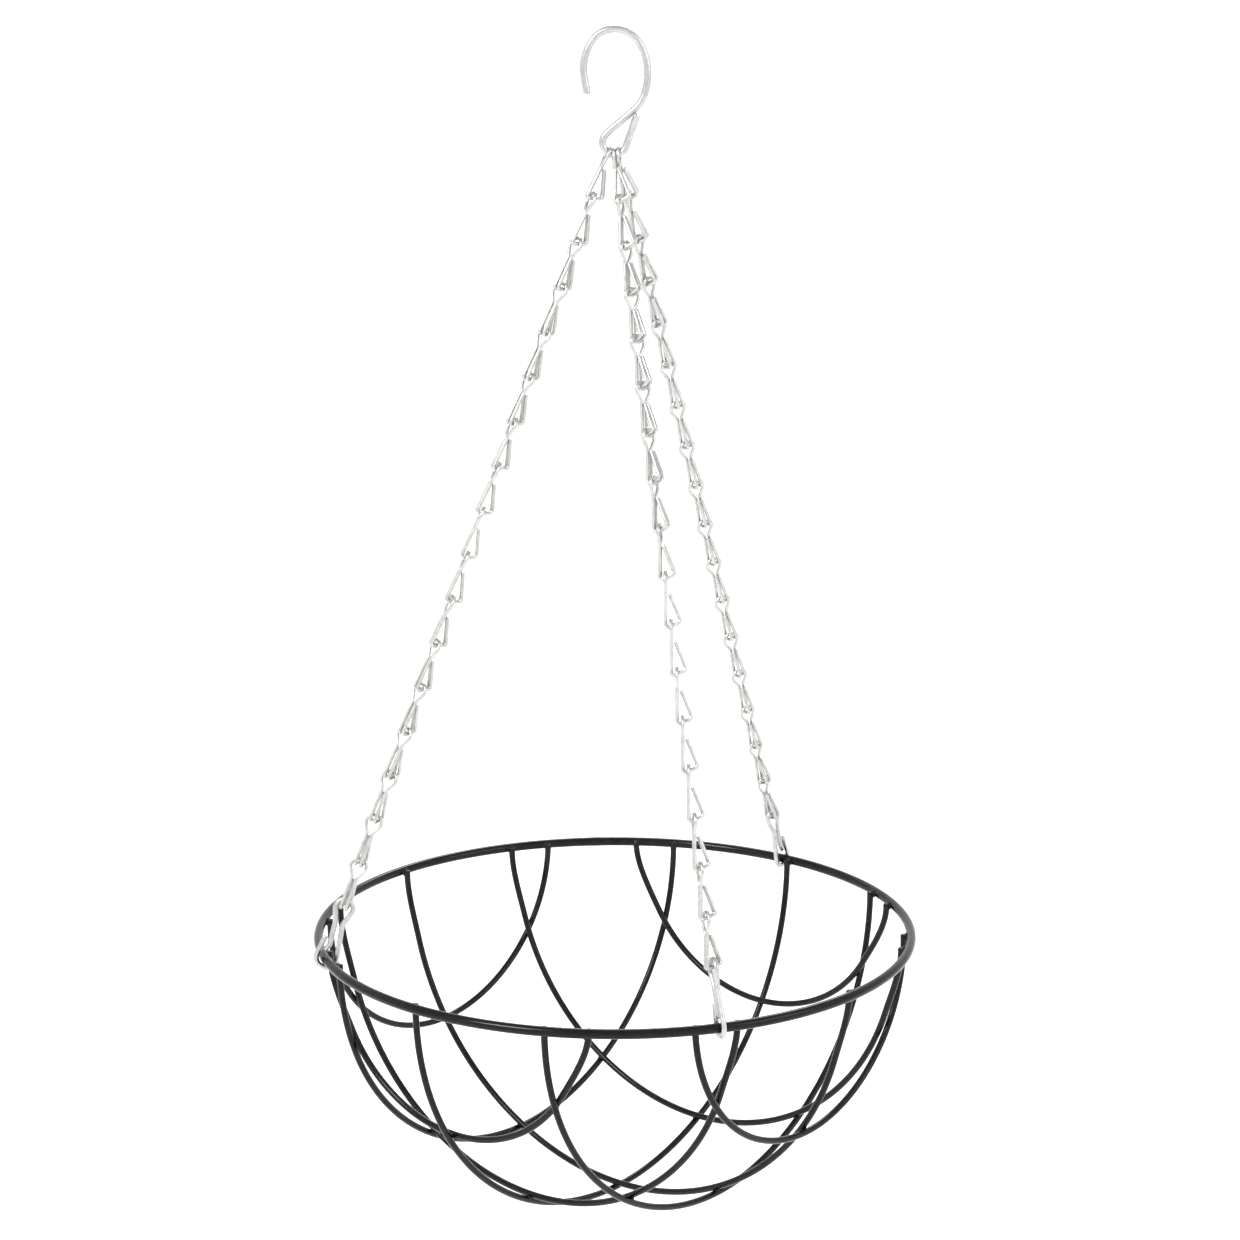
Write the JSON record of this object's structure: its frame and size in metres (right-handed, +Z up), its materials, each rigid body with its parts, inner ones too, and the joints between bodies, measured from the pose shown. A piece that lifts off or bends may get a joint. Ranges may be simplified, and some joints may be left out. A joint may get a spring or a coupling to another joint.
{
  "type": "hanging basket",
  "caption": "Open wire bowl for plants, hung from a crook hook by three chains of folded wire links that end in spring clips on its rim.",
  "frame": {"origin": "inside the top of the hook's crook, where it rests on its bracket", "axes": "+Z up; the hook lies in the XZ plane with its open side towards -X; +Y is at the back"},
  "size_m": [0.35, 0.3498, 0.6808],
  "materials": {
    "hook_wire": "bright zinc plated wire",
    "chain_wire": "bright zinc plated wire",
    "clip_wire": "bright zinc plated spring wire",
    "rim_wire": "satin black coating",
    "hoop_wire": "satin black coating"
  },
  "bodies": {
    "hook": {"hanging_hook": "hook_wire"},
    "basket": {"top_links": "chain_wire", "rim_ring": "rim_wire", "centre_hoop_1": "hoop_wire", "centre_hoop_2": "hoop_wire", "middle_hoops_1": "hoop_wire", "middle_hoops_2": "hoop_wire", "side_hoops_1": "hoop_wire", "side_hoops_2": "hoop_wire", "left_clip": "clip_wire", "right_clip": "clip_wire", "front_clip": "clip_wire"},
    "left_link_02": {"left_link_02": "chain_wire"},
    "left_link_03": {"left_link_03": "chain_wire"},
    "left_link_04": {"left_link_04": "chain_wire"},
    "left_link_05": {"left_link_05": "chain_wire"},
    "left_link_06": {"left_link_06": "chain_wire"},
    "left_link_07": {"left_link_07": "chain_wire"},
    "left_link_08": {"left_link_08": "chain_wire"},
    "left_link_09": {"left_link_09": "chain_wire"},
    "left_link_10": {"left_link_10": "chain_wire"},
    "left_link_11": {"left_link_11": "chain_wire"},
    "left_link_12": {"left_link_12": "chain_wire"},
    "left_link_13": {"left_link_13": "chain_wire"},
    "left_link_14": {"left_link_14": "chain_wire"},
    "left_link_15": {"left_link_15": "chain_wire"},
    "left_link_16": {"left_link_16": "chain_wire"},
    "left_link_17": {"left_link_17": "chain_wire"},
    "right_link_02": {"right_link_02": "chain_wire"},
    "right_link_03": {"right_link_03": "chain_wire"},
    "right_link_04": {"right_link_04": "chain_wire"},
    "right_link_05": {"right_link_05": "chain_wire"},
    "right_link_06": {"right_link_06": "chain_wire"},
    "right_link_07": {"right_link_07": "chain_wire"},
    "right_link_08": {"right_link_08": "chain_wire"},
    "right_link_09": {"right_link_09": "chain_wire"},
    "right_link_10": {"right_link_10": "chain_wire"},
    "right_link_11": {"right_link_11": "chain_wire"},
    "right_link_12": {"right_link_12": "chain_wire"},
    "right_link_13": {"right_link_13": "chain_wire"},
    "right_link_14": {"right_link_14": "chain_wire"},
    "right_link_15": {"right_link_15": "chain_wire"},
    "right_link_16": {"right_link_16": "chain_wire"},
    "right_link_17": {"right_link_17": "chain_wire"},
    "front_link_02": {"front_link_02": "chain_wire"},
    "front_link_03": {"front_link_03": "chain_wire"},
    "front_link_04": {"front_link_04": "chain_wire"},
    "front_link_05": {"front_link_05": "chain_wire"},
    "front_link_06": {"front_link_06": "chain_wire"},
    "front_link_07": {"front_link_07": "chain_wire"},
    "front_link_08": {"front_link_08": "chain_wire"},
    "front_link_09": {"front_link_09": "chain_wire"},
    "front_link_10": {"front_link_10": "chain_wire"},
    "front_link_11": {"front_link_11": "chain_wire"},
    "front_link_12": {"front_link_12": "chain_wire"},
    "front_link_13": {"front_link_13": "chain_wire"},
    "front_link_14": {"front_link_14": "chain_wire"},
    "front_link_15": {"front_link_15": "chain_wire"},
    "front_link_16": {"front_link_16": "chain_wire"},
    "front_link_17": {"front_link_17": "chain_wire"}
  },
  "joints": [
    {"name": "basket_swing", "type": "hinge", "parent": "hook", "child": "basket", "pos_m": [0, 0, -0.06555], "axis": [1, 0, 0], "range_deg": [-20, 20]},
    {"name": "left_link_02_twist", "type": "hinge", "parent": "basket", "child": "left_link_02", "pos_m": [-0.01106, -0.00262, -0.08651], "axis": [0.3341, 0.1142, 0.9356], "range_deg": [-4.81, 4.81]},
    {"name": "left_link_03_twist", "type": "hinge", "parent": "basket", "child": "left_link_03", "pos_m": [-0.01984, -0.00562, -0.11111], "axis": [0.3341, 0.1142, 0.9356], "range_deg": [-9.27, 9.27]},
    {"name": "left_link_04_twist", "type": "hinge", "parent": "basket", "child": "left_link_04", "pos_m": [-0.02862, -0.00862, -0.1357], "axis": [0.3341, 0.1142, 0.9356], "range_deg": [-13.42, 13.42]},
    {"name": "left_link_05_twist", "type": "hinge", "parent": "basket", "child": "left_link_05", "pos_m": [-0.03741, -0.01162, -0.16029], "axis": [0.3341, 0.1142, 0.9356], "range_deg": [-17.11, 17.11]},
    {"name": "left_link_06_twist", "type": "hinge", "parent": "basket", "child": "left_link_06", "pos_m": [-0.04619, -0.01462, -0.18488], "axis": [0.3341, 0.1142, 0.9356], "range_deg": [-20.24, 20.24]},
    {"name": "left_link_07_twist", "type": "hinge", "parent": "basket", "child": "left_link_07", "pos_m": [-0.05497, -0.01762, -0.20947], "axis": [0.3341, 0.1142, 0.9356], "range_deg": [-22.67, 22.67]},
    {"name": "left_link_08_twist", "type": "hinge", "parent": "basket", "child": "left_link_08", "pos_m": [-0.06375, -0.02062, -0.23406], "axis": [0.3341, 0.1142, 0.9356], "range_deg": [-24.35, 24.35]},
    {"name": "left_link_09_twist", "type": "hinge", "parent": "basket", "child": "left_link_09", "pos_m": [-0.07253, -0.02362, -0.25866], "axis": [0.3341, 0.1142, 0.9356], "range_deg": [-25, 25]},
    {"name": "left_link_10_twist", "type": "hinge", "parent": "basket", "child": "left_link_10", "pos_m": [-0.08131, -0.02662, -0.28325], "axis": [0.3341, 0.1142, 0.9356], "range_deg": [-25.2, 25.2]},
    {"name": "left_link_11_twist", "type": "hinge", "parent": "basket", "child": "left_link_11", "pos_m": [-0.09009, -0.02962, -0.30784], "axis": [0.3341, 0.1142, 0.9356], "range_deg": [-24.35, 24.35]},
    {"name": "left_link_12_twist", "type": "hinge", "parent": "basket", "child": "left_link_12", "pos_m": [-0.09887, -0.03262, -0.33243], "axis": [0.3341, 0.1142, 0.9356], "range_deg": [-22.67, 22.67]},
    {"name": "left_link_13_twist", "type": "hinge", "parent": "basket", "child": "left_link_13", "pos_m": [-0.10766, -0.03562, -0.35702], "axis": [0.3341, 0.1142, 0.9356], "range_deg": [-20.24, 20.24]},
    {"name": "left_link_14_twist", "type": "hinge", "parent": "basket", "child": "left_link_14", "pos_m": [-0.11644, -0.03862, -0.38161], "axis": [0.3341, 0.1142, 0.9356], "range_deg": [-17.11, 17.11]},
    {"name": "left_link_15_twist", "type": "hinge", "parent": "basket", "child": "left_link_15", "pos_m": [-0.12522, -0.04163, -0.40621], "axis": [0.3341, 0.1142, 0.9356], "range_deg": [-13.42, 13.42]},
    {"name": "left_link_16_twist", "type": "hinge", "parent": "basket", "child": "left_link_16", "pos_m": [-0.134, -0.04463, -0.4308], "axis": [0.3341, 0.1142, 0.9356], "range_deg": [-9.27, 9.27]},
    {"name": "left_link_17_twist", "type": "hinge", "parent": "basket", "child": "left_link_17", "pos_m": [-0.14278, -0.04763, -0.45539], "axis": [0.3341, 0.1142, 0.9356], "range_deg": [-4.81, 4.81]},
    {"name": "right_link_02_twist", "type": "hinge", "parent": "basket", "child": "right_link_02", "pos_m": [0.00768, 0.00655, -0.08683], "axis": [-0.2131, -0.2853, 0.9345], "range_deg": [-4.81, 4.81]},
    {"name": "right_link_03_twist", "type": "hinge", "parent": "basket", "child": "right_link_03", "pos_m": [0.01328, 0.01405, -0.1114], "axis": [-0.2131, -0.2853, 0.9345], "range_deg": [-9.27, 9.27]},
    {"name": "right_link_04_twist", "type": "hinge", "parent": "basket", "child": "right_link_04", "pos_m": [0.01889, 0.02155, -0.13598], "axis": [-0.2131, -0.2853, 0.9345], "range_deg": [-13.42, 13.42]},
    {"name": "right_link_05_twist", "type": "hinge", "parent": "basket", "child": "right_link_05", "pos_m": [0.02449, 0.02906, -0.16055], "axis": [-0.2131, -0.2853, 0.9345], "range_deg": [-17.11, 17.11]},
    {"name": "right_link_06_twist", "type": "hinge", "parent": "basket", "child": "right_link_06", "pos_m": [0.0301, 0.03656, -0.18513], "axis": [-0.2131, -0.2853, 0.9345], "range_deg": [-20.24, 20.24]},
    {"name": "right_link_07_twist", "type": "hinge", "parent": "basket", "child": "right_link_07", "pos_m": [0.0357, 0.04406, -0.2097], "axis": [-0.2131, -0.2853, 0.9345], "range_deg": [-22.67, 22.67]},
    {"name": "right_link_08_twist", "type": "hinge", "parent": "basket", "child": "right_link_08", "pos_m": [0.0413, 0.05156, -0.23428], "axis": [-0.2131, -0.2853, 0.9345], "range_deg": [-24.35, 24.35]},
    {"name": "right_link_09_twist", "type": "hinge", "parent": "basket", "child": "right_link_09", "pos_m": [0.04691, 0.05906, -0.25885], "axis": [-0.2131, -0.2853, 0.9345], "range_deg": [-25, 25]},
    {"name": "right_link_10_twist", "type": "hinge", "parent": "basket", "child": "right_link_10", "pos_m": [0.05251, 0.06657, -0.28342], "axis": [-0.2131, -0.2853, 0.9345], "range_deg": [-25.2, 25.2]},
    {"name": "right_link_11_twist", "type": "hinge", "parent": "basket", "child": "right_link_11", "pos_m": [0.05811, 0.07407, -0.308], "axis": [-0.2131, -0.2853, 0.9345], "range_deg": [-24.35, 24.35]},
    {"name": "right_link_12_twist", "type": "hinge", "parent": "basket", "child": "right_link_12", "pos_m": [0.06372, 0.08157, -0.33257], "axis": [-0.2131, -0.2853, 0.9345], "range_deg": [-22.67, 22.67]},
    {"name": "right_link_13_twist", "type": "hinge", "parent": "basket", "child": "right_link_13", "pos_m": [0.06932, 0.08908, -0.35715], "axis": [-0.2131, -0.2853, 0.9345], "range_deg": [-20.24, 20.24]},
    {"name": "right_link_14_twist", "type": "hinge", "parent": "basket", "child": "right_link_14", "pos_m": [0.07493, 0.09658, -0.38172], "axis": [-0.2131, -0.2853, 0.9345], "range_deg": [-17.11, 17.11]},
    {"name": "right_link_15_twist", "type": "hinge", "parent": "basket", "child": "right_link_15", "pos_m": [0.08053, 0.10408, -0.4063], "axis": [-0.2131, -0.2853, 0.9345], "range_deg": [-13.42, 13.42]},
    {"name": "right_link_16_twist", "type": "hinge", "parent": "basket", "child": "right_link_16", "pos_m": [0.08613, 0.11158, -0.43087], "axis": [-0.2131, -0.2853, 0.9345], "range_deg": [-9.27, 9.27]},
    {"name": "right_link_17_twist", "type": "hinge", "parent": "basket", "child": "right_link_17", "pos_m": [0.09174, 0.11909, -0.45545], "axis": [-0.2131, -0.2853, 0.9345], "range_deg": [-4.81, 4.81]},
    {"name": "front_link_02_twist", "type": "hinge", "parent": "basket", "child": "front_link_02", "pos_m": [0.00332, -0.00781, -0.08738], "axis": [-0.1145, 0.3404, 0.9333], "range_deg": [-4.81, 4.81]},
    {"name": "front_link_03_twist", "type": "hinge", "parent": "basket", "child": "front_link_03", "pos_m": [0.00633, -0.01676, -0.11192], "axis": [-0.1145, 0.3404, 0.9333], "range_deg": [-9.27, 9.27]},
    {"name": "front_link_04_twist", "type": "hinge", "parent": "basket", "child": "front_link_04", "pos_m": [0.00934, -0.02572, -0.13647], "axis": [-0.1145, 0.3404, 0.9333], "range_deg": [-13.42, 13.42]},
    {"name": "front_link_05_twist", "type": "hinge", "parent": "basket", "child": "front_link_05", "pos_m": [0.01235, -0.03467, -0.16101], "axis": [-0.1145, 0.3404, 0.9333], "range_deg": [-17.11, 17.11]},
    {"name": "front_link_06_twist", "type": "hinge", "parent": "basket", "child": "front_link_06", "pos_m": [0.01536, -0.04362, -0.18555], "axis": [-0.1145, 0.3404, 0.9333], "range_deg": [-20.24, 20.24]},
    {"name": "front_link_07_twist", "type": "hinge", "parent": "basket", "child": "front_link_07", "pos_m": [0.01836, -0.05257, -0.21009], "axis": [-0.1145, 0.3404, 0.9333], "range_deg": [-22.67, 22.67]},
    {"name": "front_link_08_twist", "type": "hinge", "parent": "basket", "child": "front_link_08", "pos_m": [0.02138, -0.06153, -0.23464], "axis": [-0.1145, 0.3404, 0.9333], "range_deg": [-24.35, 24.35]},
    {"name": "front_link_09_twist", "type": "hinge", "parent": "basket", "child": "front_link_09", "pos_m": [0.02438, -0.07048, -0.25918], "axis": [-0.1145, 0.3404, 0.9333], "range_deg": [-25, 25]},
    {"name": "front_link_10_twist", "type": "hinge", "parent": "basket", "child": "front_link_10", "pos_m": [0.02739, -0.07943, -0.28372], "axis": [-0.1145, 0.3404, 0.9333], "range_deg": [-25.2, 25.2]},
    {"name": "front_link_11_twist", "type": "hinge", "parent": "basket", "child": "front_link_11", "pos_m": [0.0304, -0.08838, -0.30827], "axis": [-0.1145, 0.3404, 0.9333], "range_deg": [-24.35, 24.35]},
    {"name": "front_link_12_twist", "type": "hinge", "parent": "basket", "child": "front_link_12", "pos_m": [0.03341, -0.09734, -0.33281], "axis": [-0.1145, 0.3404, 0.9333], "range_deg": [-22.67, 22.67]},
    {"name": "front_link_13_twist", "type": "hinge", "parent": "basket", "child": "front_link_13", "pos_m": [0.03642, -0.10629, -0.35735], "axis": [-0.1145, 0.3404, 0.9333], "range_deg": [-20.24, 20.24]},
    {"name": "front_link_14_twist", "type": "hinge", "parent": "basket", "child": "front_link_14", "pos_m": [0.03943, -0.11524, -0.38189], "axis": [-0.1145, 0.3404, 0.9333], "range_deg": [-17.11, 17.11]},
    {"name": "front_link_15_twist", "type": "hinge", "parent": "basket", "child": "front_link_15", "pos_m": [0.04244, -0.12419, -0.40644], "axis": [-0.1145, 0.3404, 0.9333], "range_deg": [-13.42, 13.42]},
    {"name": "front_link_16_twist", "type": "hinge", "parent": "basket", "child": "front_link_16", "pos_m": [0.04545, -0.13314, -0.43098], "axis": [-0.1145, 0.3404, 0.9333], "range_deg": [-9.27, 9.27]},
    {"name": "front_link_17_twist", "type": "hinge", "parent": "basket", "child": "front_link_17", "pos_m": [0.04846, -0.1421, -0.45552], "axis": [-0.1145, 0.3404, 0.9333], "range_deg": [-4.81, 4.81]}
  ],
  "couplings": [
    {"joint": "left_link_02_twist", "follows": "left_link_09_twist", "ratio": 0.1845},
    {"joint": "left_link_03_twist", "follows": "left_link_09_twist", "ratio": 0.3628},
    {"joint": "left_link_04_twist", "follows": "left_link_09_twist", "ratio": 0.5287},
    {"joint": "left_link_05_twist", "follows": "left_link_09_twist", "ratio": 0.6766},
    {"joint": "left_link_06_twist", "follows": "left_link_09_twist", "ratio": 0.8014},
    {"joint": "left_link_07_twist", "follows": "left_link_09_twist", "ratio": 0.899},
    {"joint": "left_link_08_twist", "follows": "left_link_09_twist", "ratio": 0.9659},
    {"joint": "left_link_10_twist", "follows": "left_link_09_twist", "ratio": 1},
    {"joint": "left_link_11_twist", "follows": "left_link_09_twist", "ratio": 0.9659},
    {"joint": "left_link_12_twist", "follows": "left_link_09_twist", "ratio": 0.899},
    {"joint": "left_link_13_twist", "follows": "left_link_09_twist", "ratio": 0.8014},
    {"joint": "left_link_14_twist", "follows": "left_link_09_twist", "ratio": 0.6766},
    {"joint": "left_link_15_twist", "follows": "left_link_09_twist", "ratio": 0.5287},
    {"joint": "left_link_16_twist", "follows": "left_link_09_twist", "ratio": 0.3628},
    {"joint": "left_link_17_twist", "follows": "left_link_09_twist", "ratio": 0.1845},
    {"joint": "right_link_02_twist", "follows": "right_link_09_twist", "ratio": 0.1845},
    {"joint": "right_link_03_twist", "follows": "right_link_09_twist", "ratio": 0.3628},
    {"joint": "right_link_04_twist", "follows": "right_link_09_twist", "ratio": 0.5287},
    {"joint": "right_link_05_twist", "follows": "right_link_09_twist", "ratio": 0.6766},
    {"joint": "right_link_06_twist", "follows": "right_link_09_twist", "ratio": 0.8014},
    {"joint": "right_link_07_twist", "follows": "right_link_09_twist", "ratio": 0.899},
    {"joint": "right_link_08_twist", "follows": "right_link_09_twist", "ratio": 0.9659},
    {"joint": "right_link_10_twist", "follows": "right_link_09_twist", "ratio": 1},
    {"joint": "right_link_11_twist", "follows": "right_link_09_twist", "ratio": 0.9659},
    {"joint": "right_link_12_twist", "follows": "right_link_09_twist", "ratio": 0.899},
    {"joint": "right_link_13_twist", "follows": "right_link_09_twist", "ratio": 0.8014},
    {"joint": "right_link_14_twist", "follows": "right_link_09_twist", "ratio": 0.6766},
    {"joint": "right_link_15_twist", "follows": "right_link_09_twist", "ratio": 0.5287},
    {"joint": "right_link_16_twist", "follows": "right_link_09_twist", "ratio": 0.3628},
    {"joint": "right_link_17_twist", "follows": "right_link_09_twist", "ratio": 0.1845},
    {"joint": "front_link_02_twist", "follows": "front_link_09_twist", "ratio": 0.1845},
    {"joint": "front_link_03_twist", "follows": "front_link_09_twist", "ratio": 0.3628},
    {"joint": "front_link_04_twist", "follows": "front_link_09_twist", "ratio": 0.5287},
    {"joint": "front_link_05_twist", "follows": "front_link_09_twist", "ratio": 0.6766},
    {"joint": "front_link_06_twist", "follows": "front_link_09_twist", "ratio": 0.8014},
    {"joint": "front_link_07_twist", "follows": "front_link_09_twist", "ratio": 0.899},
    {"joint": "front_link_08_twist", "follows": "front_link_09_twist", "ratio": 0.9659},
    {"joint": "front_link_10_twist", "follows": "front_link_09_twist", "ratio": 1},
    {"joint": "front_link_11_twist", "follows": "front_link_09_twist", "ratio": 0.9659},
    {"joint": "front_link_12_twist", "follows": "front_link_09_twist", "ratio": 0.899},
    {"joint": "front_link_13_twist", "follows": "front_link_09_twist", "ratio": 0.8014},
    {"joint": "front_link_14_twist", "follows": "front_link_09_twist", "ratio": 0.6766},
    {"joint": "front_link_15_twist", "follows": "front_link_09_twist", "ratio": 0.5287},
    {"joint": "front_link_16_twist", "follows": "front_link_09_twist", "ratio": 0.3628},
    {"joint": "front_link_17_twist", "follows": "front_link_09_twist", "ratio": 0.1845}
  ]
}
